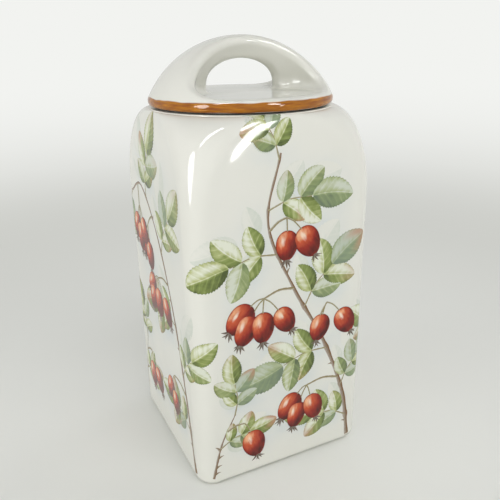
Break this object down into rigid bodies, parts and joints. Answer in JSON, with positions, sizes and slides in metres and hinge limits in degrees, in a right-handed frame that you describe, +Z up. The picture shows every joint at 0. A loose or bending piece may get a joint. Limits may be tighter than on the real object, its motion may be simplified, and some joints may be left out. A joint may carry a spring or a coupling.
{
  "type": "canister",
  "caption": "Square porcelain kitchen canister with soft corners, a round mouth and a lift-off domed lid scooped out to leave a finger arch.",
  "frame": {"origin": "centre of the foot, on the surface the canister stands on", "axes": "+Z up through the lid; +X along the finger arch; -Y is the front face"},
  "size_m": [0.12, 0.12, 0.2672],
  "materials": {
    "jar_glaze": "glossy white glaze",
    "lid_glaze": "glossy white glaze with a painted rim",
    "seal_rubber": "matte"
  },
  "bodies": {
    "jar": {"jar_body": "jar_glaze"},
    "seal": {"lid_seal": "seal_rubber"},
    "lid": {"lid": "lid_glaze"}
  },
  "joints": [
    {"name": "lid_lift", "type": "slide", "parent": "jar", "child": "seal", "axis": [0, 0, 1], "range_m": [0, 0.06]},
    {"name": "lid_turn", "type": "hinge", "parent": "seal", "child": "lid", "pos_m": [0, 0, 0.2278], "axis": [0, 0, 1], "continuous": true}
  ]
}
